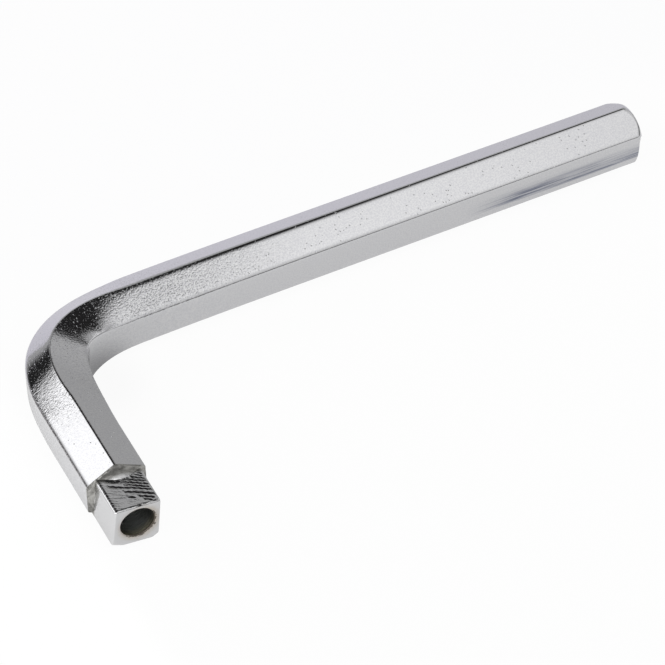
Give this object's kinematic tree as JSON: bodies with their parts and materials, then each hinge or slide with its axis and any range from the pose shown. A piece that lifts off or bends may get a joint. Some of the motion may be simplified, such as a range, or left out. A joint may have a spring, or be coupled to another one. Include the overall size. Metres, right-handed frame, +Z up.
{
  "type": "radiator spanner",
  "caption": "L-shaped radiator spanner of bright plated hexagon bar: a hexagon drive on the long arm and a drilled square drive on the short arm.",
  "frame": {"origin": "middle of the spanner's bounding rectangle, at the level of the surface that it lies on", "axes": "+X along the long arm towards its domed tip, -Y along the short arm towards the square, +Z up from the surface"},
  "size_m": [0.1508, 0.0598, 0.0145],
  "materials": {
    "plated_bar": "bright plate over hot-bent hexagon bar, lightly pitted",
    "plated_square": "bright plate over milled flats, with the cutter marks showing"
  },
  "bodies": {
    "root": {"long_arm": "plated_bar", "elbow": "plated_bar", "short_arm": "plated_bar", "square_drive": "plated_square"}
  },
  "joints": []
}
